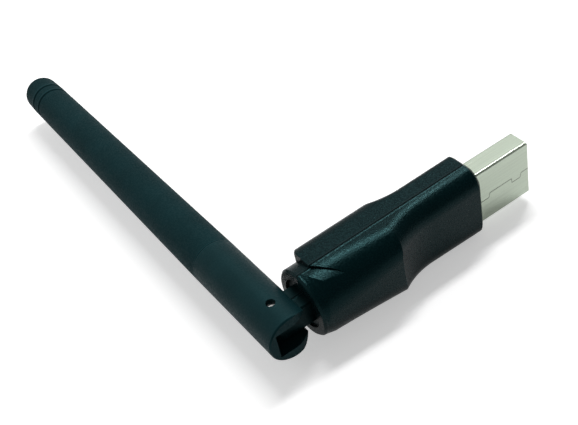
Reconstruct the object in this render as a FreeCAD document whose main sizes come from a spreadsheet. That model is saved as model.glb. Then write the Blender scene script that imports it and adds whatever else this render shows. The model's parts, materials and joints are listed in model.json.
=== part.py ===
"""A USB radio dongle with a folding, turning stub antenna, in millimetres.

The plug points along +X and the antenna is folded square to it, along +Y.
The sub-parts are drawn about the hinge pin, and each is then placed so that
the centre of the plug's open end is the origin.
"""
import FreeCAD, Part
import math
import os
import Sketcher
from FreeCAD import Vector

doc = FreeCAD.newDocument("dongle")
sheet = doc.addObject("Spreadsheet::Sheet", "Sizes")

# Driving dimensions: distances along X are measured from the hinge pin
SIZES = {
    "clearance": 0.1,
    "fine_gap": 0.05,
    # longer than any sub-part, for cuts that go right through
    "through": 240.0,
    # standard plug
    "plug_tip": 56.8,
    "plug_width": 12.0,
    "plug_height": 4.5,
    "plug_length": 18.8,
    "plug_sheet": 0.3,
    "plug_corner": 0.5,
    "seam_gap": 0.06,
    "seam_step": 1.0,
    "seam_near": 2.05,
    "seam_far": 9.85,
    "seam_tab": 2.05,
    "seam_slant": 0.3,
    "window_width": 2.5,
    "window_length": 2.0,
    "window_pitch": 5.4,
    "window_back": 5.2,
    "leg_length": 2.6,
    "leg_height": 1.8,
    "insulator_back": 0.6,
    "insulator_recess": 0.5,
    "contact_width": 1.0,
    "contact_thick": 0.2,
    "contact_inner": 1.0,
    "contact_outer": 3.5,
    "contact_long": 1.2,
    "contact_short": 2.2,
    "contact_tail": 2.0,
    "contact_room": 12.0,
    # housing of two half shells that meet in the plane Y = 0
    "housing_front": 44.0,
    "housing_rear": 8.6,
    "rear_half": 7.25,
    "front_half": 7.87,
    "wall": 1.2,
    "ramp_over": 3.0,
    "front_chamfer": 0.6,
    "near_depth": 6.75,
    "near_panel": 4.1,
    "near_corner_rear": 6.6,
    "near_corner_front": 2.2,
    "near_panel_corner": 3.7,
    "far_depth": 6.7,
    "far_panel": 4.5,
    "far_corner": 3.05,
    "far_panel_corner": 1.5,
    "far_bevel_depth": 2.2,
    "far_bevel_length": 1.7,
    "near_hollow_corner": 4.6,
    "near_hollow_chamfer": 1.5,
    "far_hollow_corner": 1.8,
    "crease": 23.2,
    "panel_start": 32.0,
    "shoulder_slant": 0.95,
    "shoulder_radius": 8.65,
    "shoulder_lean": 18.0,
    "dome_start": 6.4,
    "dome_flare": 0.23,
    "lip_height": 0.6,
    "lip_thick": 0.5,
    "post_thick": 1.0,
    "post_wide": 1.2,
    "post_out": 5.3,
    "rear_post": 17.0,
    "front_post": 33.4,
    # neck and swivel
    "neck_end": 5.7,
    "neck_radius": 6.65,
    "neck_length": 9.5,
    "neck_chamfer": 0.4,
    "journal_radius": 4.8,
    "journal_recess": 0.5,
    "journal_length": 1.5,
    "flange_radius": 5.6,
    "flange_thick": 1.4,
    "bulkhead": 2.8,
    "cable_bore": 1.7,
    # hinge knuckle
    "tongue_half": 2.5,
    "tongue_round": 2.85,
    "tongue_chamfer": 0.25,
    "cable_slot": 1.5,
    # hinge pins
    "pin_radius": 0.88,
    "pin_sink": 1.0,
    "pin_inner": 1.2,
    # antenna
    "base_radius": 4.65,
    "base_drop": 5.28,
    "base_top": 20.0,
    "base_edge": 0.25,
    "ear_radius": 5.28,
    "spigot_radius": 3.4,
    "spigot_length": 7.0,
    "antenna_tip": 101.0,
    "tip_radius": 4.06,
    "tip_round": 2.6,
    "cap_taper": 0.25,
    "sleeve_wall": 1.0,
    "sleeve_bore": 2.7,
    "first_groove": 91.4,
    "second_groove": 94.2,
    "groove_width": 0.5,
    "groove_depth": 0.3,
    # radiator and its coaxial lead
    "coax_radius": 0.57,
    "core_radius": 0.2,
    "whip_radius": 0.45,
    "coax_bend": 1.8,
    "radiator_start": 33.0,
    "radiator_length": 28.0,
    "radiator_radius": 2.2,
    "radiator_wall": 0.35,
    "whip_length": 27.0,
    # circuit board
    "board_rear": 14.0,
    "board_thick": 0.8,
    "board_face": 0.2,
    "lead_notch": 3.0,
    "pad_reach": 1.2,
    "chip_side": 6.0,
    "chip_thick": 0.85,
    "chip_centre": 25.0,
    "crystal_length": 3.2,
    "crystal_width": 2.5,
    "crystal_thick": 0.7,
    "crystal_gap": 1.3,
    "crystal_offset": 3.0,
    "regulator_length": 2.9,
    "regulator_width": 1.6,
    "regulator_thick": 1.1,
    "regulator_offset": 3.4,
    "inductor_side": 1.6,
    "inductor_offset": 3.0,
    "inductor_thick": 1.0,
    "capacitor_length": 1.0,
    "capacitor_width": 0.5,
    "capacitor_thick": 0.5,
    "resistor_length": 1.0,
    "resistor_width": 0.5,
    "resistor_thick": 0.35,
    "chip_part_pitch": 1.3,
}
CAPACITORS = 6
RESISTORS = 4
# how near two lengths are that count as equal when edges are picked
SLACK = 0.01

for row, (alias, value) in enumerate(SIZES.items(), start=1):
    sheet.set(f"A{row}", alias)
    sheet.set(f"B{row}", str(value))
    sheet.setAlias(f"B{row}", alias)
doc.recompute()


def size(alias):
    """The value that the spreadsheet holds under this alias."""
    return float(sheet.get(alias))


def of(text):
    """An expression in which every alias of the spreadsheet is written in full."""
    words = []
    word = ""
    for letter in text + " ":
        if letter.isalnum() or letter in "_.":
            word += letter
            continue
        words.append("Sizes." + word if word in SIZES else word)
        words.append(letter)
        word = ""
    return "".join(words).strip()


def value_of(text):
    """The number that an expression of aliases comes to now."""
    return float(sheet.evalExpression(of(text)))


# Sketches and features of a body

def new_body(name):
    return doc.addObject("PartDesign::Body", name)


def new_sketch(body, name, plane, offset="0"):
    """A sketch on one of the body's own planes, moved along the plane's normal."""
    sketch = body.newObject("Sketcher::SketchObject", name)
    planes = {item.Role: item for item in body.Origin.OriginFeatures}
    sketch.AttachmentSupport = [(planes[plane], "")]
    sketch.MapMode = "FlatFace"
    if offset != "0":
        sketch.setExpression("AttachmentOffset.Base.z", of(offset))
    return sketch


def fix_point(sketch, line, end, across, up):
    """Hold one end of a line at a place given by two expressions."""
    for kind, axis, text in (("DistanceX", -2, across), ("DistanceY", -1, up)):
        if text == "0":
            sketch.addConstraint(Sketcher.Constraint("PointOnObject", line, end, axis))
            continue
        rule = Sketcher.Constraint(kind, -1, 1, line, end, value_of(text))
        number = sketch.addConstraint(rule)
        sketch.setExpression(f"Constraints[{number}]", of(text))


def polygon(sketch, corners):
    """A closed outline of straight lines through corners given as expressions."""
    spots = [Vector(value_of(across), value_of(up), 0) for across, up in corners]
    first = sketch.GeometryCount
    count = len(corners)
    for i in range(count):
        sketch.addGeometry(Part.LineSegment(spots[i], spots[(i + 1) % count]))
    for i in range(count):
        after = first + (i + 1) % count
        sketch.addConstraint(Sketcher.Constraint("Coincident", first + i, 2, after, 1))
    for i, (across, up) in enumerate(corners):
        fix_point(sketch, first + i, 1, across, up)


def circle(sketch, across, up, radius):
    """A circle whose centre and radius are expressions."""
    centre = Vector(value_of(across), value_of(up), 0)
    number = sketch.addGeometry(Part.Circle(centre, Vector(0, 0, 1), value_of(radius)))
    fix_point(sketch, number, 3, across, up)
    rule = sketch.addConstraint(Sketcher.Constraint("Radius", number, value_of(radius)))
    sketch.setExpression(f"Constraints[{rule}]", of(radius))


def rectangle(sketch, left, right, low, high):
    polygon(sketch, [(left, low), (right, low), (right, high), (left, high)])


def extrude(body, kind, sketch, length, both=False, reverse=False):
    """A Pad or a Pocket of a sketch, to a length or evenly to both sides."""
    feature = body.newObject("PartDesign::" + kind, sketch.Name + kind)
    feature.Profile = sketch
    feature.Midplane = both
    feature.Reversed = reverse
    feature.setExpression("Length", of(length))
    doc.recompute()
    return feature


def turn(body, kind, sketch, axis):
    """A full Revolution or Groove about an axis of the sketch."""
    feature = body.newObject("PartDesign::" + kind, sketch.Name + kind)
    feature.Profile = sketch
    feature.ReferenceAxis = (sketch, [axis])
    feature.Angle = 360.0
    doc.recompute()
    return feature


def dress(body, kind, amount, wanted):
    """Fillet or chamfer the edges of the body's tip that the test picks."""
    base = body.Tip
    names = []
    for i, edge in enumerate(base.Shape.Edges, start=1):
        if wanted(edge):
            names.append(f"Edge{i}")
    feature = body.newObject("PartDesign::" + kind, f"{body.Name}{kind}{len(body.Group)}")
    feature.Base = (base, names)
    feature.setExpression("Radius" if kind == "Fillet" else "Size", of(amount))
    doc.recompute()
    return feature


def near(a, b):
    return abs(a - b) < SLACK


def along(edge, axis, place):
    """Whether an edge lies all over in the plane across the axis at a place."""
    box = edge.BoundBox
    low = {"x": box.XMin, "y": box.YMin, "z": box.ZMin}[axis]
    high = {"x": box.XMax, "y": box.YMax, "z": box.ZMax}[axis]
    return near(low, place) and near(high, place)


def combine(kind, name, base, *tools):
    """A boolean of whole objects: Cut takes tools from base, the others join all."""
    if kind == "Cut":
        if len(tools) == 1:
            tool = tools[0]
        else:
            tool = doc.addObject("Part::MultiFuse", name + "Tools")
            tool.Shapes = list(tools)
        result = doc.addObject("Part::Cut", name)
        result.Base = base
        result.Tool = tool
    else:
        result = doc.addObject("Part::Multi" + kind, name)
        result.Shapes = [base] + list(tools)
    doc.recompute()
    return result


def half_width(x):
    """The housing's half width in Z at a distance from the pin."""
    slope = "(front_half - rear_half) / (housing_front - housing_rear)"
    return f"(rear_half + {slope} * (({x}) - housing_rear))"


def near_corner(x):
    """The radius of the near half's long corners at a distance from the pin."""
    share = f"(({x}) - housing_rear) / (housing_front - housing_rear)"
    return f"(near_corner_rear + (near_corner_front - near_corner_rear) * {share})"


# Half shells of the housing

def plan_outline(sketch, start, end, inset):
    """The housing's outline seen along Y, tapering towards the hinge."""
    low = half_width(start) + " - " + inset
    high = half_width(end) + " - " + inset
    # the plane's up direction is +Z and its normal is -Y
    polygon(sketch, [
        (start, f"-({low})"), (end, f"-({high})"), (end, high), (start, low)])


def round_along(name, block, long_edge, rear_radius, front_radius):
    """Round a block's two long edges with a radius that changes along X."""
    fillet = doc.addObject("Part::Fillet", name)
    fillet.Base = block
    rounds = []
    for i, edge in enumerate(block.Shape.Edges, start=1):
        if long_edge(edge):
            first_x = edge.valueAt(edge.FirstParameter).x
            last_x = edge.valueAt(edge.LastParameter).x
            if first_x < last_x:
                rounds.append((i, rear_radius, front_radius))
            else:
                rounds.append((i, front_radius, rear_radius))
    fillet.Edges = rounds
    doc.recompute()
    return fillet


def dome_block(label, side, inset, start, end):
    """The full-depth half of the housing, before the plug end is thinned."""
    depth = f"({side}_depth - {inset})"
    level = value_of(depth) * (-1 if side == "near" else 1)
    body = new_body(label + "Block")
    sketch = new_sketch(body, label + "Plan", "XZ_Plane")
    plan_outline(sketch, start, end, inset)
    extrude(body, "Pad", sketch, depth, reverse=(side == "far"))

    def long_edge(edge):
        return along(edge, "y", level) and edge.BoundBox.XLength > edge.BoundBox.ZLength

    if label == "near":
        rear = value_of(near_corner(start))
        front = value_of(near_corner(end))
        return round_along("nearDome", body, long_edge, rear, front)
    corner = "far_corner" if label == "far" else f"{side}_hollow_corner"
    dress(body, "Fillet", corner, long_edge)
    return body


def panel_block(label, side, inset, start, end):
    """The thinned envelope: a flat panel at the plug end and a hollow ramp."""
    sign = "-" if side == "near" else ""
    flat = f"({side}_panel - {inset})"
    full = f"({side}_depth - {inset} + ramp_over)"
    rise = f"({side}_depth - {side}_panel)"
    run = "(panel_start - crease)"
    radius = f"(({run} ^ 2 + {rise} ^ 2) / (2 * {rise}))"
    top_run = f"sqrt({radius} ^ 2 - ({radius} - {rise} - ramp_over) ^ 2)"
    body = new_body(label + "Side")
    sketch = new_sketch(body, label + "Profile", "XY_Plane")
    corners = [
        (start, "0"), (end, "0"), (end, sign + flat), ("panel_start", sign + flat),
        (f"panel_start - {top_run}", sign + full), (start, sign + full)]
    spots = [Vector(value_of(across), value_of(up), 0) for across, up in corners]
    centre = spots[3] + Vector(0, (-1 if side == "near" else 1) * value_of(radius), 0)
    for i in range(6):
        if i != 3:
            sketch.addGeometry(Part.LineSegment(spots[i], spots[(i + 1) % 6]))
            continue
        ring = Part.Circle(centre, Vector(0, 0, 1), value_of(radius))
        ends = [ring.parameter(spots[3]), ring.parameter(spots[4])]
        if side == "near":
            sketch.addGeometry(Part.ArcOfCircle(ring, ends[0], ends[1]))
        else:
            sketch.addGeometry(Part.ArcOfCircle(ring, ends[1], ends[0]))
    arc_first, arc_last = (1, 2) if side == "near" else (2, 1)
    for line in (0, 1, 4):
        follower = line + 1 if line != 4 else 5
        sketch.addConstraint(Sketcher.Constraint("Coincident", line, 2, follower, 1))
    sketch.addConstraint(Sketcher.Constraint("Coincident", 5, 2, 0, 1))
    sketch.addConstraint(Sketcher.Constraint("Coincident", 2, 2, 3, arc_first))
    sketch.addConstraint(Sketcher.Constraint("Coincident", 3, arc_last, 4, 1))
    for line, (across, up) in ((0, corners[0]), (1, corners[1]), (2, corners[2]),
                               (4, corners[4]), (5, corners[5])):
        fix_point(sketch, line, 1, across, up)
    fix_point(sketch, 2, 2, *corners[3])
    rule = sketch.addConstraint(Sketcher.Constraint("Radius", 3, value_of(radius)))
    sketch.setExpression(f"Constraints[{rule}]", of(radius))
    extrude(body, "Pad", sketch, "4 * front_half", both=True)
    plan = new_sketch(body, label + "Sides", "XZ_Plane")
    low = half_width(start) + " - " + inset
    high = half_width(end) + " - " + inset
    for z_sign in ("", "-"):
        polygon(plan, [
            (start, f"{z_sign}({low})"), (end, f"{z_sign}({high})"),
            (end, z_sign + "through"), (start, z_sign + "through")])
    extrude(body, "Pocket", plan, "through", both=True)
    level = value_of(sign + flat)
    ramp_end = spots[4].x

    def long_edge(edge):
        box = edge.BoundBox
        on_side = box.ZMin > 0 or box.ZMax < 0
        on_panel = along(edge, "y", level)
        on_ramp = near(box.XMin, ramp_end) and near(box.XMax, spots[3].x)
        return on_side and box.XLength > size("wall") and (on_panel or on_ramp)

    if label == side:
        dress(body, "Fillet", f"{side}_panel_corner", long_edge)
        place = value_of(end)
        dress(body, "Chamfer", "front_chamfer", lambda edge: (
            along(edge, "x", place) and not along(edge, "y", 0)))
    elif side == "near":
        dress(body, "Chamfer", "near_hollow_chamfer", long_edge)
    return body


def half_form(label, side, inset, start, end):
    """One half of the housing's outer form, or of its hollow when inset."""
    dome = dome_block(label, side, inset, start, end)
    panel = panel_block(label, side, inset, start, end)
    return combine("Common", label + "Form", dome, panel)


journal_face = "neck_end + journal_recess"
pocket_start = "neck_end + journal_length"
pocket_end = f"{pocket_start} + flange_thick + 2 * fine_gap"
hollow_start = f"{pocket_end} + bulkhead"
hollow_end = "housing_front - wall"
board_low = "(board_face + board_thick)"


def neck_half(label, side):
    """Half of the round neck that the antenna's knuckle turns in."""
    body = new_body(label)
    profile = new_sketch(body, label + "Profile", "XZ_Plane")
    polygon(profile, [
        ("neck_end", "0"), ("neck_end + neck_length", "0"),
        ("neck_end + neck_length", "neck_radius"),
        ("neck_end + neck_chamfer", "neck_radius"),
        ("neck_end", "neck_radius - neck_chamfer")])
    half = turn(body, "Revolution", profile, "H_Axis")
    half.Angle = 180.0
    half.Reversed = side == "far"
    doc.recompute()
    return body


def swivel_bore():
    """The hollow of the neck: a bore, a wider pocket and a hole for the lead."""
    body = new_body("swivelBore")
    profile = new_sketch(body, "swivelBoreProfile", "XZ_Plane")
    bore = "journal_radius + fine_gap"
    pocket = "flange_radius + clearance"
    lead = "cable_bore / 2"
    polygon(profile, [
        ("neck_end - wall", "0"), (f"{hollow_start} + wall", "0"),
        (f"{hollow_start} + wall", lead), (pocket_end, lead), (pocket_end, pocket),
        (pocket_start, pocket), (pocket_start, bore), ("neck_end - wall", bore)])
    turn(body, "Revolution", profile, "H_Axis")
    return body


def rounded_bar(name, half_y, half_z, corner, start, length):
    """A bar along X with four rounded edges."""
    body = new_body(name)
    sketch = new_sketch(body, name + "Section", "YZ_Plane", start)
    rectangle(sketch, f"-({half_y})", half_y, f"-({half_z})", half_z)
    extrude(body, "Pad", sketch, length)
    dress(body, "Fillet", corner, lambda edge: edge.BoundBox.XLength > SLACK)
    return body


def plug_opening():
    """The room for the plug, from behind its legs out through the front wall."""
    rear = f"({plug_rear} - leg_length - clearance)"
    return rounded_bar(
        "plugOpening", "plug_height / 2 + fine_gap", "plug_width / 2 + fine_gap",
        "plug_corner + fine_gap", rear, f"housing_front + wall - {rear}")


def side_strips(body, name, inner, outer, ends):
    """Two strips that follow the housing's tapering sides."""
    sketch = new_sketch(body, name, "XZ_Plane")
    start = f"{hollow_start} - {ends}"
    end = f"{hollow_end} + {ends}"
    for sign in ("", "-"):
        polygon(sketch, [
            (start, f"{sign}({half_width(start)} - ({inner}))"),
            (end, f"{sign}({half_width(end)} - ({inner}))"),
            (end, f"{sign}({half_width(end)} - ({outer}))"),
            (start, f"{sign}({half_width(start)} - ({outer}))")])
    return sketch


def posts(label, side, form):
    """Four posts that hold the circuit board, grown from the shell's wall."""
    body = new_body(label)
    face = f"-{board_low}" if side == "near" else "-board_face + fine_gap"
    sketch = new_sketch(body, label + "Plan", "XZ_Plane", f"-({face})")
    for place in ("rear_post", "front_post"):
        for sign in ("", "-"):
            rectangle(
                sketch, f"{place} - post_thick / 2", f"{place} + post_thick / 2",
                f"{sign}(post_out - post_wide)", f"{sign}post_out")
    extrude(body, "Pad", sketch, "through", reverse=(side == "far"))
    return combine("Common", label + "Trimmed", body, form)


def neck_flare():
    """A cone about the swivel, within which the near dome grows out of the neck."""
    body = new_body("neckFlare")
    profile = new_sketch(body, "neckFlareProfile", "XZ_Plane")
    widest = "neck_radius + dome_flare * (housing_front - dome_start)"
    polygon(profile, [
        ("dome_start", "0"), ("housing_front", "0"), ("housing_front", widest),
        ("dome_start", "neck_radius")])
    turn(body, "Revolution", profile, "H_Axis")
    return body


def shoulder_cut():
    """The cut, above and below, that lets the round neck come out of the near dome."""
    plan = new_body("shoulderPlanBlock")
    sketch = new_sketch(plan, "shoulderPlan", "XY_Plane")
    polygon(sketch, [
        ("0", "wall"), ("housing_rear - shoulder_slant * wall", "wall"),
        ("housing_rear + shoulder_slant * 2 * near_depth", "-2 * near_depth"),
        ("0", "-2 * near_depth")])
    extrude(plan, "Pad", sketch, "through", both=True)
    # a round that grazes the neck at the joint and runs out into the dome
    offset = "(shoulder_radius - neck_radius)"
    rounds = []
    for name, sign in (("upperShoulder", "-"), ("lowerShoulder", "")):
        body = new_body(name)
        sketch = new_sketch(body, name + "Section", "YZ_Plane")
        circle(
            sketch, f"-{offset} * sin(shoulder_lean * 1 deg)",
            f"{sign}{offset} * cos(shoulder_lean * 1 deg)", "shoulder_radius")
        extrude(body, "Pad", sketch, "through", both=True)
        rounds.append(body)
    kept = combine("Common", "shoulderKept", *rounds)
    return combine("Cut", "shoulderCut", plan, kept)


def far_bevel():
    """The cut that bevels the far half's wide side at the hinge end."""
    body = new_body("farBevel")
    sketch = new_sketch(body, "farBevelPlan", "XY_Plane")
    foot = "far_depth - far_bevel_depth"
    beyond = "far_depth + far_bevel_depth"
    polygon(sketch, [
        ("0", foot), ("housing_rear", foot),
        ("housing_rear + 2 * far_bevel_length", beyond), ("0", beyond)])
    extrude(body, "Pad", sketch, "through", both=True)
    return body


def half_shell(side, bore, opening):
    """A half shell: outer form, neck, hollow, posts and the joint's lip or step."""
    start = "dome_start" if side == "near" else "housing_rear"
    form = half_form(side, side, "0", start, "housing_front")
    if side == "near":
        outer = combine("Common", "nearFlared", form, neck_flare())
        outer = combine("Cut", "nearShouldered", outer, shoulder_cut())
    else:
        outer = combine("Cut", "farBevelled", form, far_bevel())
    outer = combine("Fuse", side + "Outer", outer, neck_half(side + "Neck", side))
    hollow = half_form(side + "Hollow", side, "wall", hollow_start, hollow_end)
    shelled = combine("Cut", side + "Shelled", outer, hollow, bore, opening)
    held = posts(side + "Posts", side, form)
    if side == "far":
        step = new_body("farStep")
        sketch = side_strips(
            step, "farStepPlan", "wall + clearance", "wall - lip_thick - fine_gap",
            "fine_gap")
        extrude(step, "Pad", sketch, "lip_height + fine_gap", reverse=True)
        shelled = combine("Cut", "farStepped", shelled, step)
        return combine("Fuse", "far_shell", shelled, held)
    lip = new_body("nearLip")
    sketch = side_strips(lip, "nearLipPlan", "wall", "wall - lip_thick", "0")
    extrude(lip, "Pad", sketch, "lip_height", reverse=True)
    return combine("Fuse", "near_shell", shelled, held, lip)


# Knuckle: a tongue for the hinge on a journal that turns in the neck

def knuckle_form():
    body = new_body("knuckleForm")
    flange_start = f"{pocket_start} + fine_gap"
    flange_end = f"{flange_start} + flange_thick"
    profile = new_sketch(body, "journalProfile", "XZ_Plane")
    polygon(profile, [
        (journal_face, "0"), (flange_end, "0"), (flange_end, "flange_radius"),
        (flange_start, "flange_radius"), (flange_start, "journal_radius"),
        (journal_face, "journal_radius")])
    turn(body, "Revolution", profile, "H_Axis")
    tongue = new_sketch(body, "tonguePlan", "XY_Plane")
    root = f"{journal_face} + wall / 2"
    radius = value_of("tongue_round")
    right = value_of(root)
    tongue.addGeometry(Part.LineSegment(Vector(0, -radius, 0), Vector(right, -radius, 0)))
    tongue.addGeometry(Part.LineSegment(Vector(right, -radius, 0), Vector(right, radius, 0)))
    tongue.addGeometry(Part.LineSegment(Vector(right, radius, 0), Vector(0, radius, 0)))
    end_round = Part.Circle(Vector(0, 0, 0), Vector(0, 0, 1), radius)
    tongue.addGeometry(Part.ArcOfCircle(end_round, math.pi / 2, 3 * math.pi / 2))
    for before, after in ((0, 1), (1, 2)):
        tongue.addConstraint(Sketcher.Constraint("Coincident", before, 2, after, 1))
    tongue.addConstraint(Sketcher.Constraint("Coincident", 2, 2, 3, 1))
    tongue.addConstraint(Sketcher.Constraint("Coincident", 3, 2, 0, 1))
    fix_point(tongue, 0, 1, "0", "-tongue_round")
    fix_point(tongue, 1, 1, root, "-tongue_round")
    fix_point(tongue, 2, 1, root, "tongue_round")
    fix_point(tongue, 2, 2, "0", "tongue_round")
    tongue.addConstraint(Sketcher.Constraint("PointOnObject", 3, 3, -2))
    extrude(body, "Pad", tongue, "2 * tongue_half", both=True)
    top = size("tongue_half")

    def rim(edge):
        flat = along(edge, "z", top) or along(edge, "z", -top)
        return flat and edge.BoundBox.XMin < value_of(journal_face) - size("wall")

    dress(body, "Chamfer", "tongue_chamfer", rim)
    hole = new_sketch(body, "tonguePinHole", "XY_Plane")
    circle(hole, "0", "0", "pin_radius + fine_gap")
    extrude(body, "Pocket", hole, "through", both=True)
    lead = new_sketch(body, "tongueLeadHole", "YZ_Plane")
    circle(lead, "0", "0", "cable_bore / 2")
    extrude(body, "Pocket", lead, "through", both=True)
    swing = new_sketch(body, "tongueLeadSlot", "XY_Plane")
    polygon(swing, [
        ("coax_bend - clearance", "-cable_bore / 2"),
        ("coax_bend - clearance", "2 * tongue_round"),
        ("-2 * tongue_round", "2 * tongue_round"),
        ("-2 * tongue_round", "-cable_bore / 2")])
    extrude(body, "Pocket", swing, "cable_slot", both=True)
    return body


def knuckle_half(name, form, side):
    """One moulding of the knuckle, which is split in the housing's own plane."""
    body = new_body(name + "Half")
    sketch = new_sketch(body, name + "Plan", "XY_Plane")
    edge = "-2 * neck_radius" if side == "near" else "2 * neck_radius"
    rectangle(sketch, "-neck_radius", "2 * neck_radius", "0", edge)
    extrude(body, "Pad", sketch, "through", both=True)
    return combine("Common", name, form, body)


def hinge_pin(name, sign):
    """A short pin pressed in one ear, with its outer end below the surface."""
    body = new_body(name)
    place = "pin_inner" if sign > 0 else "-pin_inner"
    sketch = new_sketch(body, name + "Section", "XY_Plane", place)
    circle(sketch, "0", "0", "pin_radius")
    extrude(body, "Pad", sketch, "base_radius - pin_sink - pin_inner", reverse=sign < 0)
    return body


# Antenna: a forked base, and a tapered sleeve over its spigot

def antenna_base():
    body = new_body("antenna_base")
    profile = new_sketch(body, "baseProfile", "XY_Plane")
    spigot_top = "base_top + spigot_length"
    polygon(profile, [
        ("0", "-base_drop"), ("base_radius - base_edge", "-base_drop"),
        ("base_radius", "-base_drop + base_edge"), ("base_radius", "base_top"),
        ("spigot_radius", "base_top"), ("spigot_radius", spigot_top),
        ("0", spigot_top)])
    turn(body, "Revolution", profile, "V_Axis")
    slot = new_sketch(body, "forkSlot", "XY_Plane")
    stop = "(tongue_round + clearance)"
    rectangle(slot, f"-{stop}", "2 * base_radius", "-2 * base_drop", stop)
    extrude(body, "Pocket", slot, "2 * (tongue_half + clearance)", both=True)
    corner = new_sketch(body, "earCorner", "XY_Plane")
    radius = value_of("ear_radius")
    far = 2 * radius
    ring = Part.Circle(Vector(0, 0, 0), Vector(0, 0, 1), radius)
    corner.addGeometry(Part.ArcOfCircle(ring, 3 * math.pi / 2, 2 * math.pi))
    spots = [(radius, 0), (far, 0), (far, -far), (0, -far), (0, -radius)]
    for first, last in zip(spots, spots[1:]):
        corner.addGeometry(Part.LineSegment(Vector(*first, 0), Vector(*last, 0)))
    corner.addConstraint(Sketcher.Constraint("Coincident", 0, 2, 1, 1))
    for line in (1, 2, 3):
        corner.addConstraint(Sketcher.Constraint("Coincident", line, 2, line + 1, 1))
    corner.addConstraint(Sketcher.Constraint("Coincident", 4, 2, 0, 1))
    fix_point(corner, 1, 1, "ear_radius", "0")
    fix_point(corner, 2, 1, "2 * ear_radius", "0")
    fix_point(corner, 3, 1, "2 * ear_radius", "-2 * ear_radius")
    fix_point(corner, 4, 1, "0", "-2 * ear_radius")
    fix_point(corner, 4, 2, "0", "-ear_radius")
    corner.addConstraint(Sketcher.Constraint("PointOnObject", 0, 3, -1))
    extrude(body, "Pocket", corner, "through", both=True)
    hole = new_sketch(body, "earPinHole", "XY_Plane")
    circle(hole, "0", "0", "pin_radius")
    extrude(body, "Pocket", hole, "through", both=True)
    lead = new_sketch(body, "baseLeadHole", "XZ_Plane")
    circle(lead, "0", "0", "cable_bore / 2")
    extrude(body, "Pocket", lead, "through", both=True)
    return body


def sleeve_radius(y):
    """The sleeve's outer radius at a distance along the antenna."""
    slope = "(base_radius - tip_radius) / (second_groove - base_top)"
    return f"(base_radius - {slope} * (({y}) - base_top))"


def antenna_sleeve():
    body = new_body("antenna_sleeve")
    profile = new_sketch(body, "sleeveProfile", "XY_Plane")
    half = "groove_width / 2"
    socket_top = "base_top + spigot_length + clearance"
    outer = [("base_radius", "base_top")]
    for groove in ("first_groove", "second_groove"):
        below = f"{groove} - {half}"
        above = f"{groove} + {half}"
        outer += [
            (sleeve_radius(below), below),
            (f"{sleeve_radius(groove)} - groove_depth", groove),
            (sleeve_radius(above), above)]
    polygon(profile, outer + [
        ("tip_radius - cap_taper", "antenna_tip"), ("0", "antenna_tip"),
        ("0", "antenna_tip - 2 * sleeve_wall"),
        ("sleeve_bore", "antenna_tip - 2 * sleeve_wall"), ("sleeve_bore", socket_top),
        ("spigot_radius + fine_gap", socket_top), ("spigot_radius + fine_gap", "base_top")])
    turn(body, "Revolution", profile, "V_Axis")
    tip = size("antenna_tip")
    dress(body, "Fillet", "tip_round", lambda edge: along(edge, "y", tip))
    return body


def coax_lead():
    """The coaxial lead from the board, round the hinge and up the antenna."""
    body = new_body("coax_cable")
    start = "board_rear + lead_notch"
    top = "radiator_start + radiator_length"
    section = new_sketch(body, "leadSection", "YZ_Plane", start)
    circle(section, "0", "0", "coax_radius")
    route = new_sketch(body, "leadRoute", "XY_Plane")
    bend = value_of("coax_bend")
    route.addGeometry(Part.LineSegment(Vector(value_of(start), 0, 0), Vector(bend, 0, 0)))
    ring = Part.Circle(Vector(bend, bend, 0), Vector(0, 0, 1), bend)
    route.addGeometry(Part.ArcOfCircle(ring, math.pi, 3 * math.pi / 2))
    route.addGeometry(Part.LineSegment(Vector(0, bend, 0), Vector(0, value_of(top), 0)))
    route.addConstraint(Sketcher.Constraint("Coincident", 0, 2, 1, 2))
    route.addConstraint(Sketcher.Constraint("Coincident", 1, 1, 2, 1))
    fix_point(route, 0, 1, start, "0")
    fix_point(route, 0, 2, "coax_bend", "0")
    fix_point(route, 2, 1, "0", "coax_bend")
    fix_point(route, 2, 2, "0", top)
    rule = route.addConstraint(Sketcher.Constraint("Radius", 1, bend))
    route.setExpression(f"Constraints[{rule}]", of("coax_bend"))
    doc.recompute()
    pipe = body.newObject("PartDesign::AdditivePipe", "leadJacket")
    pipe.Profile = section
    pipe.Spine = (route, ["Edge1", "Edge2", "Edge3"])
    doc.recompute()
    core = new_sketch(body, "coreSection", "YZ_Plane", start)
    circle(core, "0", "0", "core_radius")
    extrude(body, "Pad", core, "pad_reach")
    whip = new_sketch(body, "whipSection", "XZ_Plane", f"-({top})")
    circle(whip, "0", "0", "whip_radius")
    extrude(body, "Pad", whip, "whip_length", reverse=True)
    return body


def radiator():
    """The brass tube that is soldered to the lead's braid at its far end."""
    body = new_body("radiator_tube")
    profile = new_sketch(body, "radiatorProfile", "XY_Plane")
    top = "radiator_start + radiator_length"
    polygon(profile, [
        ("coax_radius", top), ("coax_radius", f"{top} - radiator_wall"),
        ("radiator_radius - radiator_wall", f"{top} - radiator_wall"),
        ("radiator_radius - radiator_wall", "radiator_start"),
        ("radiator_radius", "radiator_start"), ("radiator_radius", top)])
    turn(body, "Revolution", profile, "V_Axis")
    return body


# Plug

plug_rear = "(plug_tip - plug_length)"
inner_half = "(plug_width / 2 - plug_sheet)"
inner_high = "(plug_height / 2 - plug_sheet)"


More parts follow.
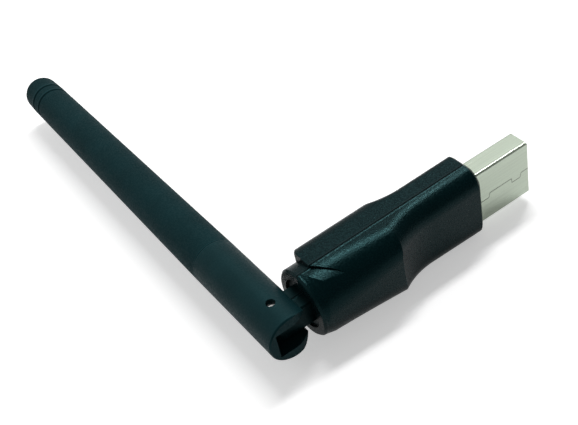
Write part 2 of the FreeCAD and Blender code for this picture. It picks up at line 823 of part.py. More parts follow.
def plug_shell():
    """A sheet rolled round to a dovetailed seam in the middle of one wide side."""
    body = rounded_bar(
        "plug_shell", "plug_height / 2", "plug_width / 2", "plug_corner",
        plug_rear, "plug_length")
    bore = new_sketch(body, "shellBore", "YZ_Plane")
    rectangle(bore, f"-{inner_high}", inner_high, f"-{inner_half}", inner_half)
    extrude(body, "Pocket", bore, "through", both=True)
    seam = new_sketch(body, "shellSeam", "XZ_Plane", "plug_height / 2 - plug_sheet / 2")
    route = [("plug_tip + wall", "0")]
    for tab in ("seam_near", "seam_far"):
        tab_start = f"plug_tip - {tab}"
        tab_end = f"{tab_start} - seam_tab"
        route += [
            (f"{tab_start} + seam_slant", "0"), (tab_start, "-seam_step"),
            (tab_end, "-seam_step"), (f"{tab_end} - seam_slant / 4", "0")]
    route.append((f"{plug_rear} - wall", "0"))
    band = [(x, f"{z} + seam_gap / 2") for x, z in route]
    band += [(x, f"{z} - seam_gap / 2") for x, z in reversed(route)]
    polygon(seam, band)
    extrude(body, "Pocket", seam, "2 * plug_sheet", both=True)
    windows = new_sketch(body, "shellWindows", "XZ_Plane", "-plug_height / 2")
    for sign in ("", "-"):
        rectangle(
            windows, "plug_tip - window_back - window_length", "plug_tip - window_back",
            f"{sign}(window_pitch - window_width) / 2",
            f"{sign}(window_pitch + window_width) / 2")
    extrude(body, "Pocket", windows, "3 * plug_sheet", both=True)
    legs = new_sketch(body, "shellLegs", "XY_Plane")
    low = f"-({board_low} + plug_sheet)"
    rectangle(
        legs, f"{plug_rear} - leg_length", f"{plug_rear} + plug_sheet",
        low, f"{low} + leg_height")
    extrude(body, "Pad", legs, "plug_width", both=True)
    slot = new_sketch(body, "shellLegSlot", "XY_Plane")
    rectangle(
        slot, f"{plug_rear} - 2 * leg_length", f"{plug_rear} + 2 * plug_sheet",
        "-plug_height / 2 + 2 * plug_sheet", "plug_height / 2 - 2 * plug_sheet")
    extrude(body, "Pocket", slot, f"2 * {inner_half}", both=True)
    return body


contact_places = {
    "contact_power": "contact_outer", "contact_data_minus": "contact_inner",
    "contact_data_plus": "-contact_inner", "contact_ground": "-contact_outer"}


def plug_insulator():
    """The plastic block and tongue that carry the four contacts."""
    body = new_body("plug_insulator")
    side = new_sketch(body, "insulatorSide", "XY_Plane")
    back = f"{plug_rear} + insulator_back"
    block = "plug_tip - contact_room"
    front = "plug_tip - insulator_recess"
    polygon(side, [
        (back, f"-{inner_high}"), (f"{front} - plug_sheet", f"-{inner_high}"),
        (front, f"-{inner_high} + plug_sheet"), (front, "-board_face - plug_sheet"),
        (f"{front} - plug_sheet", "-board_face"), (block, "-board_face"),
        (block, f"{inner_high}"), (back, f"{inner_high}")])
    extrude(body, "Pad", side, f"2 * ({inner_half} - fine_gap)", both=True)
    channels = new_sketch(body, "insulatorChannels", "YZ_Plane")
    for place in contact_places.values():
        rectangle(
            channels, "-board_face", "-board_face + contact_thick + fine_gap",
            f"{place} - contact_width / 2 - fine_gap",
            f"{place} + contact_width / 2 + fine_gap")
    extrude(body, "Pocket", channels, "through", both=True)
    return body


def contact(name, place, setback):
    """A flat contact strip whose tail is soldered to the board."""
    body = new_body(name)
    side = new_sketch(body, name + "Side", "XY_Plane")
    top = "-board_face + contact_thick"
    tail = f"{plug_rear} - contact_tail"
    nose = f"plug_tip - insulator_recess - {setback}"
    polygon(side, [
        (tail, "-board_face"), (nose, "-board_face"), (f"{nose} - contact_thick", top),
        (tail, top)])
    extrude(body, "Pad", side, "contact_width", both=True)
    body.setExpression("Placement.Base.z", of(place))
    return body


# Circuit board and what is soldered to it

def circuit_board():
    body = new_body("circuit_board")
    plan = new_sketch(body, "boardPlan", "XZ_Plane", "board_face")
    front = f"{plug_rear} + insulator_back - clearance"
    half = f"({inner_half} - clearance)"
    notch = "(coax_radius + clearance)"
    polygon(plan, [
        ("board_rear", f"-{half}"), (front, f"-{half}"), (front, half),
        ("board_rear", half), ("board_rear", notch), ("board_rear + lead_notch", notch),
        ("board_rear + lead_notch", f"-{notch}"), ("board_rear", f"-{notch}")])
    extrude(body, "Pad", plan, "board_thick")
    corner = value_of("board_rear")

    def rear_corner(edge):
        return along(edge, "x", corner) and near(abs(edge.CenterOfMass.z), value_of(half))

    dress(body, "Chamfer", "wall / 2", rear_corner)
    return body


def mounted(name, spots, length, width, thick):
    """Parts of one kind that stand on the board's face, centred on the spots."""
    body = new_body(name)
    plan = new_sketch(body, name + "Plan", "XZ_Plane", "board_face")
    for x, z in spots:
        rectangle(
            plan, f"{x} - {length} / 2", f"{x} + {length} / 2",
            f"{z} - {width} / 2", f"{z} + {width} / 2")
    extrude(body, "Pad", plan, thick, reverse=True)
    return body


def row_of(x, count, first):
    """Places in a row across the board, one pitch apart."""
    return [(x, f"({first} + {i}) * chip_part_pitch") for i in range(count)]


chip_edge = "(chip_centre + chip_side / 2)"
crystal_x = f"({chip_edge} + crystal_gap + crystal_length / 2)"
regulator_x = f"({chip_edge} + crystal_gap + regulator_width)"
row_x = f"({plug_rear} - contact_tail - capacitor_length)"
column_x = "(chip_centre - chip_side / 2 - resistor_length)"

bore = swivel_bore()
opening = plug_opening()
parts = [half_shell("near", bore, opening), half_shell("far", bore, opening)]
form = knuckle_form()
parts.append(knuckle_half("knuckle_near", form, "near"))
parts.append(knuckle_half("knuckle_far", form, "far"))
parts += [hinge_pin("hinge_pin_upper", 1), hinge_pin("hinge_pin_lower", -1)]
parts += [antenna_base(), antenna_sleeve(), coax_lead(), radiator()]
parts += [plug_shell(), plug_insulator()]
for name, place in contact_places.items():
    setback = "contact_long" if "outer" in place else "contact_short"
    parts.append(contact(name, place, setback))
parts.append(circuit_board())
parts.append(mounted("radio_chip", [("chip_centre", "0")], "chip_side", "chip_side", "chip_thick"))
parts.append(mounted(
    "crystal", [(crystal_x, "-crystal_offset")],
    "crystal_length", "crystal_width", "crystal_thick"))
parts.append(mounted(
    "voltage_regulator", [(regulator_x, "regulator_offset")],
    "regulator_width", "regulator_length", "regulator_thick"))
parts.append(mounted(
    "matching_inductor", [(column_x, "inductor_offset")],
    "inductor_side", "inductor_side", "inductor_thick"))
parts.append(mounted(
    "chip_capacitors", row_of(row_x, CAPACITORS, -(CAPACITORS - 1) / 2),
    "capacitor_length", "capacitor_width", "capacitor_thick"))
parts.append(mounted(
    "chip_resistors", row_of(column_x, RESISTORS, -RESISTORS + 1 / 2),
    "resistor_length", "resistor_width", "resistor_thick"))

# Place each sub-part, check it and write it

for part in parts:
    part.Label = part.Name
    part.setExpression("Placement.Base.x", of("-plug_tip"))
doc.recompute()

failed = [item.Name for item in doc.Objects
          if "Invalid" in item.State or "Error" in item.State]
if failed:
    raise RuntimeError(f"these did not compute: {failed}")
os.makedirs("parts", exist_ok=True)
for part in parts:
    if part.Shape.isNull() or not part.Shape.isValid():
        raise RuntimeError(f"{part.Label} has no valid shape")
    part.Shape.exportStep(f"parts/{part.Label}.step")
    box = part.Shape.BoundBox
    print(f"{part.Label}: {len(part.Shape.Solids)} solids, {part.Shape.Volume:.2f} mm3, "
          f"x {box.XMin:.2f} {box.XMax:.2f}, y {box.YMin:.2f} {box.YMax:.2f}, "
          f"z {box.ZMin:.2f} {box.ZMax:.2f}")
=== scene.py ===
import json

import bpy
from mathutils import Matrix, Vector


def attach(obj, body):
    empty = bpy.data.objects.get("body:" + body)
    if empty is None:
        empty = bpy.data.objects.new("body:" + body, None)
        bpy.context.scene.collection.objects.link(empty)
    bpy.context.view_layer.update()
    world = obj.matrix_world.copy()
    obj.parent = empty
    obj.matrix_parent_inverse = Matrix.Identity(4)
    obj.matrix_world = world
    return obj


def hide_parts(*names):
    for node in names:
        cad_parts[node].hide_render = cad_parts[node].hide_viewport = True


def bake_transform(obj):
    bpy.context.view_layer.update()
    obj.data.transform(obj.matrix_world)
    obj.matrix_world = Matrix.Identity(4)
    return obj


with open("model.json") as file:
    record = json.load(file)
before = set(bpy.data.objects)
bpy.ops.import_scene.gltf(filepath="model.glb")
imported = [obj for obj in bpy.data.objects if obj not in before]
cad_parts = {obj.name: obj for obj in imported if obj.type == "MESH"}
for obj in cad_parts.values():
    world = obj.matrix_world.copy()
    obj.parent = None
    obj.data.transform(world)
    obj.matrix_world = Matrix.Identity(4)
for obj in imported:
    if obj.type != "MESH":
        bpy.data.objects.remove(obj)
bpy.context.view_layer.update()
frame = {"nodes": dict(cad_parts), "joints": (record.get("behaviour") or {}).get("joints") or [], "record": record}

MM = 0.001
nodes = frame["nodes"]
joints = {joint["name"]: Vector(joint["pos_m"]) for joint in frame["joints"]}
hinge = joints["antenna_fold"]

# Node helpers


def add_math(tree, operation, first, second=None, third=None):
    """A Math node on sockets or plain numbers, which gives its output socket."""
    node = tree.nodes.new("ShaderNodeMath")
    node.operation = operation
    for i, item in enumerate((first, second, third)):
        if isinstance(item, bpy.types.NodeSocket):
            tree.links.new(item, node.inputs[i])
        elif item is not None:
            node.inputs[i].default_value = item
    return node.outputs[0]


def add_range(tree, value, low, high, out_low, out_high, smooth=False):
    """A Map Range node, which gives its output socket."""
    node = tree.nodes.new("ShaderNodeMapRange")
    if smooth:
        node.interpolation_type = "SMOOTHSTEP"
    tree.links.new(value, node.inputs["Value"])
    names = ("From Min", "From Max", "To Min", "To Max")
    for name, number in zip(names, (low, high, out_low, out_high)):
        if isinstance(number, bpy.types.NodeSocket):
            tree.links.new(number, node.inputs[name])
        else:
            node.inputs[name].default_value = number
    return node.outputs["Result"]


def add_noise(tree, place, scale, detail, rough):
    """A Noise Texture node, which gives its grey value's socket."""
    node = tree.nodes.new("ShaderNodeTexNoise")
    node.inputs["Detail"].default_value = detail
    node.inputs["Roughness"].default_value = rough
    tree.links.new(place, node.inputs["Vector"])
    if isinstance(scale, bpy.types.NodeSocket):
        tree.links.new(scale, node.inputs["Scale"])
    else:
        node.inputs["Scale"].default_value = scale
    return node.outputs["Fac"]


def new_group(name, inputs, outputs):
    """An empty node group with named sockets, and the sockets at its two ends."""
    group = bpy.data.node_groups.new(name, "ShaderNodeTree")
    for label, kind, value in inputs:
        socket = group.interface.new_socket(label, in_out="INPUT", socket_type=kind)
        if value is not None:
            socket.default_value = value
    for label, kind in outputs:
        group.interface.new_socket(label, in_out="OUTPUT", socket_type=kind)
    entry = group.nodes.new("NodeGroupInput")
    leave = group.nodes.new("NodeGroupOutput")
    return group, entry.outputs, leave.inputs


# Effects that finishes share

# the coarse grain against the fine one: its share of the scale, and its weight in the height
COARSE_SCALE = 0.5
COARSE_WEIGHT = 1.3
# the coarse grain's values from the floor of a pit to the ground between pits
PIT_FLOOR = 0.36
PIT_RIM = 0.64
PATCH_SCALE = 140.0
# how far a joint line's edges reach, in half widths: the band of its raised lip and its painted highlight
EDGE_REACH = 3.0
# the tabs of the plug's seam, in mm: where they start behind the open end, and their length
SEAM_TABS = (2.05, 9.85)
TAB_LENGTH = 2.05
SEAM_STEP = 1.0
# how much further forward a tab's ends stand at the seam's upper line than at its lower one
FRONT_LEAN = 0.3
REAR_LEAN = -0.075
# the seam shows only on the side beyond this level of Y
SEAM_SIDE = -1.9


def spark_texture_group():
    """Fine moulded texture: a grain of small pits, with slow patches of more and less."""
    group, entry, leave = new_group(
        "spark_texture",
        [("Place", "NodeSocketVector", None), ("Grain Size", "NodeSocketFloat", 3000.0),
         ("Patchiness", "NodeSocketFloat", 0.3)],
        [("Height", "NodeSocketFloat"), ("Patches", "NodeSocketFloat"),
         ("Pits", "NodeSocketFloat")])
    grain = add_noise(group, entry["Place"], entry["Grain Size"], 2.0, 0.6)
    coarse_size = add_math(group, "MULTIPLY", entry["Grain Size"], COARSE_SCALE)
    coarse = add_noise(group, entry["Place"], coarse_size, 2.0, 0.6)
    height = add_math(group, "MULTIPLY_ADD", coarse, COARSE_WEIGHT, grain)
    slow = add_noise(group, entry["Place"], PATCH_SCALE, 3.0, 0.55)
    centred = add_math(group, "SUBTRACT", slow, 0.5)
    patches = add_math(group, "MULTIPLY_ADD", centred, entry["Patchiness"], 0.5)
    pits = add_range(group, coarse, PIT_FLOOR, PIT_RIM, 0.0, 1.0, smooth=True)
    group.links.new(height, leave["Height"])
    group.links.new(patches, leave["Patches"])
    group.links.new(pits, leave["Pits"])
    return group


def joint_line_group():
    """A fine groove at a level of one coordinate, as where two mouldings meet, and the band along its edges, for a
    raised lip and a painted highlight.
    """
    group, entry, leave = new_group(
        "joint_line",
        [("Coordinate", "NodeSocketFloat", 0.0), ("Level", "NodeSocketFloat", 0.0),
         ("Half Width", "NodeSocketFloat", 0.0001)],
        [("Line", "NodeSocketFloat"), ("Edges", "NodeSocketFloat")])
    off = add_math(group, "SUBTRACT", entry["Coordinate"], entry["Level"])
    off = add_math(group, "ABSOLUTE", off)
    line = add_range(group, off, 0.0, entry["Half Width"], 1.0, 0.0, smooth=True)
    outer = add_math(group, "MULTIPLY", entry["Half Width"], EDGE_REACH)
    around = add_range(group, off, entry["Half Width"], outer, 1.0, 0.0, smooth=True)
    edges = add_math(group, "SUBTRACT", around, line)
    group.links.new(line, leave["Line"])
    group.links.new(edges, leave["Edges"])
    return group


def from_tab_end(group, entry, level, lean):
    """How far a place lies ahead of a tab's leaning end, which is at this level on the upper line."""
    upright = add_math(group, "MULTIPLY_ADD", entry["Across"], -lean, entry["Along"])
    return add_math(group, "SUBTRACT", upright, level * MM)


def rolled_seam_group():
    """The stepped line where a rolled sheet meets itself, on the side that faces -Y."""
    group, entry, leave = new_group(
        "rolled_seam",
        [("Along", "NodeSocketFloat", 0.0), ("Across", "NodeSocketFloat", 0.0),
         ("Side", "NodeSocketFloat", 0.0), ("Half Width", "NodeSocketFloat", 0.0001)],
        [("Seam", "NodeSocketFloat")])
    ends = []
    tabs = []
    for start in SEAM_TABS:
        front = from_tab_end(group, entry, FRONT_LEAN - start, FRONT_LEAN)
        rear = from_tab_end(group, entry, REAR_LEAN - start - TAB_LENGTH, REAR_LEAN)
        behind = add_math(group, "LESS_THAN", front, 0.0)
        ahead = add_math(group, "GREATER_THAN", rear, 0.0)
        tabs.append(add_math(group, "MULTIPLY", behind, ahead))
        ends += [front, rear]
    stepped = add_math(group, "ADD", *tabs)
    off = add_math(group, "MULTIPLY_ADD", stepped, SEAM_STEP * MM, entry["Across"])
    off = add_math(group, "ABSOLUTE", off)
    seam = add_range(group, off, 0.0, entry["Half Width"], 1.0, 0.0)
    above = add_math(group, "GREATER_THAN", entry["Across"], -SEAM_STEP * MM)
    below = add_math(group, "LESS_THAN", entry["Across"], 0.0)
    between = add_math(group, "MULTIPLY", above, below)
    for end in ends:
        off = add_math(group, "ABSOLUTE", end)
        edge = add_range(group, off, 0.0, entry["Half Width"], 1.0, 0.0)
        edge = add_math(group, "MULTIPLY", edge, between)
        seam = add_math(group, "MAXIMUM", seam, edge)
    facing = add_math(group, "LESS_THAN", entry["Side"], SEAM_SIDE * MM)
    seam = add_math(group, "MULTIPLY", seam, facing)
    group.links.new(seam, leave["Seam"])
    return group


def drawn_lines_group():
    """Fine lines along one axis, as rolling or drawing leaves on metal."""
    group, entry, leave = new_group(
        "drawn_lines",
        [("Place", "NodeSocketVector", None), ("Stretch", "NodeSocketVector", (40, 4000, 4000))],
        [("Lines", "NodeSocketFloat")])
    scaled = group.nodes.new("ShaderNodeVectorMath")
    scaled.operation = "MULTIPLY"
    group.links.new(entry["Place"], scaled.inputs[0])
    group.links.new(entry["Stretch"], scaled.inputs[1])
    lines = add_noise(group, scaled.outputs["Vector"], 1.0, 3.0, 0.6)
    group.links.new(lines, leave["Lines"])
    return group


spark_texture = spark_texture_group()
joint_line = joint_line_group()
rolled_seam = rolled_seam_group()
drawn_lines = drawn_lines_group()


class Finish:
    """One material: its shader, the place in the frame, and what is laid over it."""

    def __init__(self, name, color, roughness, metallic=0.0):
        self.material = bpy.data.materials.new(name)
        self.material.use_nodes = True
        self.tree = self.material.node_tree
        self.shader = self.tree.nodes["Principled BSDF"]
        self.color = color
        self.shader.inputs["Base Color"].default_value = (*color, 1)
        self.shader.inputs["Roughness"].default_value = roughness
        self.shader.inputs["Metallic"].default_value = metallic
        coordinates = self.tree.nodes.new("ShaderNodeTexCoord")
        self.place = coordinates.outputs["Object"]
        split = self.tree.nodes.new("ShaderNodeSeparateXYZ")
        self.tree.links.new(self.place, split.inputs[0])
        self.axes = split.outputs

    def use(self, group, **values):
        """A group node with its values set, or linked where they are sockets."""
        node = self.tree.nodes.new("ShaderNodeGroup")
        node.node_tree = group
        for label, value in values.items():
            socket = node.inputs[label.replace("_", " ")]
            if isinstance(value, bpy.types.NodeSocket):
                self.tree.links.new(value, socket)
            else:
                socket.default_value = value
        return node.outputs

    def shade(self, mask, dark, light):
        """Base colour that runs from dark to light times the colour with the mask."""
        mix = self.tree.nodes.new("ShaderNodeMix")
        mix.data_type = "RGBA"
        self.tree.links.new(mask, mix.inputs["Factor"])
        mix.inputs["A"].default_value = (*(part * dark for part in self.color), 1)
        mix.inputs["B"].default_value = (*(part * light for part in self.color), 1)
        self.tree.links.new(mix.outputs["Result"], self.shader.inputs["Base Color"])

    def roughen(self, mask, low, high):
        """Roughness that runs from low to high with the mask."""
        rough = add_range(self.tree, mask, 0.0, 1.0, low, high)
        self.tree.links.new(rough, self.shader.inputs["Roughness"])

    def emboss(self, height, depth_mm):
        """Relief that is this deep for each unit of the height."""
        bump = self.tree.nodes.new("ShaderNodeBump")
        bump.inputs["Strength"].default_value = 1.0
        bump.inputs["Distance"].default_value = depth_mm * MM
        self.tree.links.new(height, bump.inputs["Height"])
        self.tree.links.new(bump.outputs["Normal"], self.shader.inputs["Normal"])


# Finishes of the mouldings, with distances in mm

HOUSING_COLOR = (0.0002, 0.0055, 0.0066)
ANTENNA_COLOR = (0.0038, 0.0205, 0.0242)
TEAL_SHEEN = (0.3, 0.94, 1.0, 1)
FAINT_GLOSS = 0.15
PIT_SHEEN = 0.1
# a joint line's groove and the raised lip along its edges, in units of the texture's height and of its shade; the
# lip's lighter shade is a painted highlight
GROOVE_HEIGHT = -8.0
LIP_HEIGHT = 2.4
GROOVE_SHADE = -0.9
PAINTED_LIP_HIGHLIGHT = 0.7
# the axis and the level of each line, and half its width
HALVES_MEET = ("Y", 0.0, 0.16)
SLEEVE_FOOT = ("Y", 20.0, 0.13)
# the two tip grooves are recesses cut in the sleeve; their darker line is painted shade, and their edges get the
# same painted highlight
TIP_GROOVES = (("Y", 91.65, 0.3), ("Y", 94.45, 0.3))
# the antenna's foot, below the sleeve, is this much less rough
SLEEK_FOOT = ("Y", 20.0, 0.2)
SLEEK_FADE = 0.1


def textured_plastic(name, color, rough, grain, depth_mm, lines, sleek=None):
    """Dark moulded plastic with a fine texture and dark lines where two mouldings meet or a groove is cut, with a
    painted highlight along each line's edges; in a cut groove the dark line is painted shade.

    Below the level that sleek names on an axis, the plastic is smoother by its last value.
    """
    finish = Finish(name, color, rough)
    finish.shader.inputs["Specular IOR Level"].default_value = FAINT_GLOSS
    finish.shader.inputs["Specular Tint"].default_value = TEAL_SHEEN
    texture = finish.use(spark_texture, Place=finish.place, Grain_Size=grain, Patchiness=0.8)
    height = texture["Height"]
    shade = texture["Patches"]
    for axis, level, half_width in lines:
        joint = finish.use(
            joint_line, Coordinate=finish.axes[axis], Level=level * MM,
            Half_Width=half_width * MM)
        height = add_math(finish.tree, "MULTIPLY_ADD", joint["Line"], GROOVE_HEIGHT, height)
        height = add_math(finish.tree, "MULTIPLY_ADD", joint["Edges"], LIP_HEIGHT, height)
        # the darker groove is a dark joint where two mouldings meet, and painted shade in the antenna's cut tip
        # grooves
        shade = add_math(finish.tree, "MULTIPLY_ADD", joint["Line"], GROOVE_SHADE, shade)
        # the lighter shade along the edges is a painted highlight
        shade = add_math(finish.tree, "MULTIPLY_ADD", joint["Edges"], PAINTED_LIP_HIGHLIGHT, shade)
    finish.shade(shade, 0.5, 1.5)
    dull = add_range(
        finish.tree, texture["Pits"], 0.0, 1.0, rough + PIT_SHEEN, rough - PIT_SHEEN)
    if sleek:
        axis, level, drop = sleek
        eased = add_range(
            finish.tree, finish.axes[axis], (level - SLEEK_FADE) * MM, level * MM, -drop, 0.0)
        dull = add_math(finish.tree, "ADD", dull, eased)
    finish.tree.links.new(dull, finish.shader.inputs["Roughness"])
    finish.emboss(height, depth_mm)
    return finish.material


# Finishes of metal, resin and board

ALONG_X = (60, 5000, 5000)
ALONG_Y = (5000, 60, 5000)
ALONG_Z = (5000, 5000, 60)
PLUG_COLOR = (0.6, 0.68, 0.565)
SEAM_HALF_WIDTH = 0.11
SEAM_SHADE = -0.9
SEAM_HEIGHT = -6.0


def plain_plastic(name, color, rough):
    """Moulded plastic or resin with a faint texture."""
    finish = Finish(name, color, rough)
    texture = finish.use(spark_texture, Place=finish.place, Grain_Size=3000.0, Patchiness=0.6)
    finish.shade(texture["Patches"], 0.85, 1.15)
    finish.roughen(texture["Patches"], rough - 0.06, rough + 0.06)
    finish.emboss(texture["Height"], 0.004)
    return finish.material


def lined_metal(name, color, rough, stretch):
    """Sheet, wire or turned metal with the fine lines of its making."""
    finish = Finish(name, color, rough, metallic=1.0)
    lines = finish.use(drawn_lines, Place=finish.place, Stretch=stretch)["Lines"]
    finish.shade(lines, 0.9, 1.08)
    finish.roughen(lines, rough - 0.08, rough + 0.08)
    finish.emboss(lines, 0.002)
    return finish.material


def plug_steel():
    """Bright sheet with rolling lines, darker along its seam."""
    finish = Finish("plug_steel", PLUG_COLOR, 0.34, metallic=1.0)
    lines = finish.use(drawn_lines, Place=finish.place, Stretch=ALONG_X)["Lines"]
    seam = finish.use(
        rolled_seam, Along=finish.axes["X"], Across=finish.axes["Z"], Side=finish.axes["Y"],
        Half_Width=SEAM_HALF_WIDTH * MM)["Seam"]
    shade = add_math(finish.tree, "MULTIPLY_ADD", lines, 0.4, 0.4)
    shade = add_math(finish.tree, "MULTIPLY_ADD", seam, SEAM_SHADE, shade)
    finish.shade(shade, 0.3, 1.2)
    finish.roughen(lines, 0.22, 0.3)
    height = add_math(finish.tree, "MULTIPLY_ADD", seam, SEAM_HEIGHT, lines)
    finish.emboss(height, 0.004)
    return finish.material


finishes = {
    "housing_plastic": textured_plastic(
        "housing_plastic", HOUSING_COLOR, 0.28, 5600.0, 0.02, [HALVES_MEET]),
    "knuckle_plastic": textured_plastic(
        "knuckle_plastic", HOUSING_COLOR, 0.38, 6400.0, 0.014, [HALVES_MEET]),
    "antenna_plastic": textured_plastic(
        "antenna_plastic", ANTENNA_COLOR, 0.72, 6400.0, 0.01,
        [SLEEVE_FOOT, *TIP_GROOVES], sleek=SLEEK_FOOT),
    "plug_steel": plug_steel(),
    "pin_steel": lined_metal("pin_steel", (0.75, 0.75, 0.73), 0.3, ALONG_Z),
    "contact_gold": lined_metal("contact_gold", (0.83, 0.6, 0.26), 0.25, ALONG_X),
    "crystal_case": lined_metal("crystal_case", (0.62, 0.62, 0.6), 0.3, ALONG_X),
    "radiator_brass": lined_metal("radiator_brass", (0.72, 0.53, 0.25), 0.32, ALONG_Y),
    "bare_copper": lined_metal("bare_copper", (0.72, 0.4, 0.25), 0.3, ALONG_Y),
    "insulator_plastic": plain_plastic("insulator_plastic", (0.72, 0.72, 0.69), 0.45),
    "board_laminate": plain_plastic("board_laminate", (0.02, 0.13, 0.05), 0.35),
    "chip_resin": plain_plastic("chip_resin", (0.015, 0.015, 0.017), 0.55),
    "capacitor_ceramic": plain_plastic("capacitor_ceramic", (0.4, 0.28, 0.16), 0.5),
    "lead_jacket": plain_plastic("lead_jacket", (0.28, 0.14, 0.07), 0.3),
}


def finish_nodes():
    """Each solid gets the finish that its record names."""
    for entry in frame["record"]["subparts"]:
        mesh = nodes[entry["node"]].data
        mesh.materials.clear()
        mesh.materials.append(finishes[entry["material_slot"]])


# The lead inside, which bends at the hinge

LEAD_RADIUS = 0.57 * MM
WHIP_RADIUS = 0.45 * MM
CORE_RADIUS = 0.2 * MM
LEAD_BEND = 1.8 * MM
LEAD_START = (-39.8 * MM, 0, 0)
CORE_END = (-38.6 * MM, 0, 0)
LEAD_TOP = (-56.8 * MM, 61.0 * MM, 0)
WHIP_TOP = (-56.8 * MM, 88.0 * MM, 0)


def drawn_tube(name, points, radius, finish):
    """A round lead or wire along a smooth line, as a mesh with closed ends."""
    curve = bpy.data.curves.new(name, "CURVE")
    curve.dimensions = "3D"
    spline = curve.splines.new("NURBS")
    spline.points.add(len(points) - 1)
    for spot, point in zip(spline.points, points):
        spot.co = (*point, 1)
    spline.order_u = min(3, len(points))
    spline.use_endpoint_u = True
    spline.resolution_u = 12
    curve.bevel_depth = radius
    curve.bevel_resolution = 5
    curve.use_fill_caps = True
    drawn = bpy.data.objects.new(name + "_line", curve)
    bpy.context.collection.objects.link(drawn)
    bpy.context.view_layer.update()
    graph = bpy.context.evaluated_depsgraph_get()
    mesh = bpy.data.meshes.new_from_object(drawn.evaluated_get(graph))
    bpy.data.objects.remove(drawn)
    mesh.name = name
    mesh.materials.clear()
    mesh.materials.append(finishes[finish])
    mesh.shade_smooth()
    tube = bpy.data.objects.new(name, mesh)
    bpy.context.collection.objects.link(tube)
    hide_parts("coax_cable")
    return tube


def run_lead():
    """The jacketed lead, its core at the board and its bare end in the antenna."""
    before = hinge + Vector((LEAD_BEND, 0, 0))
    after = hinge + Vector((0, LEAD_BEND, 0))
    jacket = drawn_tube(
        "antenna_lead", [LEAD_START, before, hinge, after, LEAD_TOP], LEAD_RADIUS,
        "lead_jacket")
    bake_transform(jacket)
    core = drawn_tube("lead_core", [LEAD_START, CORE_END], CORE_RADIUS, "bare_copper")
    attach(core, "knuckle")
    whip = drawn_tube("antenna_whip", [LEAD_TOP, WHIP_TOP], WHIP_RADIUS, "bare_copper")
    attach(whip, "antenna")


# Studio, with distances in metres

CAMERA_PLACE = (-0.104407, -0.113905, 0.130874)
CAMERA_RIGHT = (0.80629, -0.56358, -0.17964)
CAMERA_UP = (0.49257, 0.47157, 0.73143)
CAMERA_BACK = (-0.32751, -0.67823, 0.65783)
LENS_MM = 65.14
SENSOR_MM = 36.0
FLOOR_LEVEL = -7.9 * MM
FLOOR_REACH = 4.0
MIDDLE = (-0.035, 0.03, 0)
# how strong the air is as a light, and what mirrors and the camera see of it besides
AIR = 0.14
MIRRORED_AIR = 0.1
SEEN_AIR = 0.86
# the paper's grey as it is seen, and as it throws light back up
PAPER_SEEN = (0.86, 0.86, 0.86)
PAPER_BOUNCE = (0.4, 0.4, 0.4)
# the paper's own glow for all that see it, and for the camera near the object and far from it
PAPER_GLOW = 0.22
NEAR_GLOW = 0.23
FAR_GLOW = 0.9
GLOW_START = 0.15
GLOW_END = 1.2


def set_up_camera():
    """The photographer's view: from behind the neck, above and to the left."""
    lens = bpy.data.cameras.new("camera")
    lens.sensor_width = SENSOR_MM
    lens.lens = LENS_MM
    lens.clip_start = 0.01
    camera = bpy.data.objects.new("camera", lens)
    axes = Matrix((CAMERA_RIGHT, CAMERA_UP, CAMERA_BACK)).transposed().to_4x4()
    camera.matrix_world = Matrix.Translation(CAMERA_PLACE) @ axes
    bpy.context.collection.objects.link(camera)
    bpy.context.scene.camera = camera


def hang_softbox(name, toward, distance, width, height, strength, along=(1, 0, 0)):
    """A flat soft light that faces the object, with its width along one direction."""
    lamp = bpy.data.lights.new(name, "AREA")
    lamp.shape = "RECTANGLE"
    lamp.size = width
    lamp.size_y = height
    lamp.energy = strength
    back = Vector(toward).normalized()
    side = Vector(along)
    side = (side - back * side.dot(back)).normalized()
    axes = Matrix((side, back.cross(side), back)).transposed().to_4x4()
    light = bpy.data.objects.new(name, lamp)
    light.matrix_world = Matrix.Translation(Vector(MIDDLE) + back * distance) @ axes
    bpy.context.collection.objects.link(light)


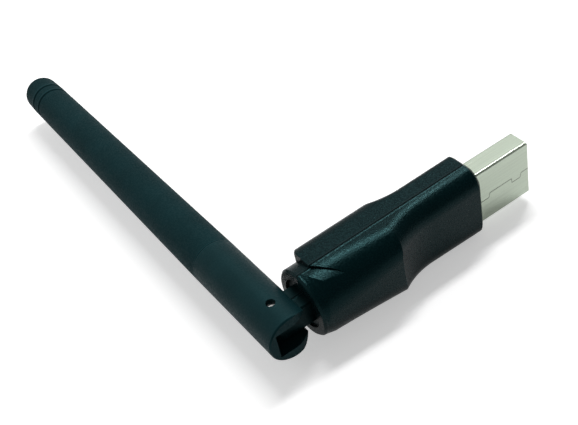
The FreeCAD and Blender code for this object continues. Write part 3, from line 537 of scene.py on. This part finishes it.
def pale_paper():
    """Paper that the camera and mirrors see pale, and that throws less light back up."""
    paper = Finish("pale_paper", PAPER_SEEN, 0.9)
    paper.shader.inputs["Specular IOR Level"].default_value = 0.1
    tree = paper.tree
    path = tree.nodes.new("ShaderNodeLightPath")
    seen = add_math(
        tree, "ADD", path.outputs["Is Glossy Ray"], path.outputs["Is Transmission Ray"])
    seen = add_math(tree, "ADD", seen, path.outputs["Is Camera Ray"])
    tint = tree.nodes.new("ShaderNodeMix")
    tint.data_type = "RGBA"
    tree.links.new(seen, tint.inputs["Factor"])
    tint.inputs["A"].default_value = (*PAPER_BOUNCE, 1)
    tint.inputs["B"].default_value = (*PAPER_SEEN, 1)
    tree.links.new(tint.outputs["Result"], paper.shader.inputs["Base Color"])
    paper.shader.inputs["Emission Color"].default_value = (1, 1, 1, 1)
    away = tree.nodes.new("ShaderNodeVectorMath")
    away.operation = "LENGTH"
    tree.links.new(paper.place, away.inputs[0])
    added = add_range(
        tree, away.outputs["Value"], GLOW_START, GLOW_END, NEAR_GLOW, FAR_GLOW, smooth=True)
    glow = add_math(tree, "MULTIPLY", path.outputs["Is Camera Ray"], added)
    glow = add_math(tree, "MULTIPLY_ADD", seen, PAPER_GLOW, glow)
    tree.links.new(glow, paper.shader.inputs["Emission Strength"])
    return paper.material


def lay_floor():
    """A broad pale sheet of paper under the object."""
    sheet = bpy.data.meshes.new("studio_floor")
    reach = FLOOR_REACH
    corners = [(-reach, -reach, FLOOR_LEVEL), (reach, -reach, FLOOR_LEVEL),
               (reach, reach, FLOOR_LEVEL), (-reach, reach, FLOOR_LEVEL)]
    sheet.from_pydata(corners, [], [(0, 1, 2, 3)])
    floor = bpy.data.objects.new("studio_floor", sheet)
    bpy.context.collection.objects.link(floor)
    sheet.materials.append(pale_paper())


def light_studio():
    """Soft light from above, behind and the left, and pale air that the camera sees as paper."""
    world = bpy.data.worlds.new("studio_air")
    bpy.context.scene.world = world
    world.use_nodes = True
    tree = world.node_tree
    air = tree.nodes["Background"]
    air.inputs["Color"].default_value = (1, 1, 1, 1)
    path = tree.nodes.new("ShaderNodeLightPath")
    mirrored = add_math(
        tree, "ADD", path.outputs["Is Glossy Ray"], path.outputs["Is Transmission Ray"])
    mirrored = add_math(tree, "MULTIPLY_ADD", mirrored, MIRRORED_AIR, AIR)
    seen = add_math(tree, "MULTIPLY_ADD", path.outputs["Is Camera Ray"], SEEN_AIR, mirrored)
    tree.links.new(seen, air.inputs["Strength"])
    hang_softbox(
        "overhead_strip", toward=(0.33, 0.26, 0.91), distance=0.7, width=0.4, height=0.09,
        strength=2.9)
    hang_softbox(
        "back_panel", toward=(0.33, 0.72, 0.62), distance=0.9, width=2.2, height=1.0,
        strength=3.6)
    hang_softbox(
        "left_panel", toward=(-0.75, 0.45, 0.5), distance=0.8, width=1.2, height=0.8,
        strength=1.5, along=(0, 1, 0))


finish_nodes()
run_lead()
set_up_camera()
lay_floor()
light_studio()
bpy.context.scene.view_settings.view_transform = "Standard"
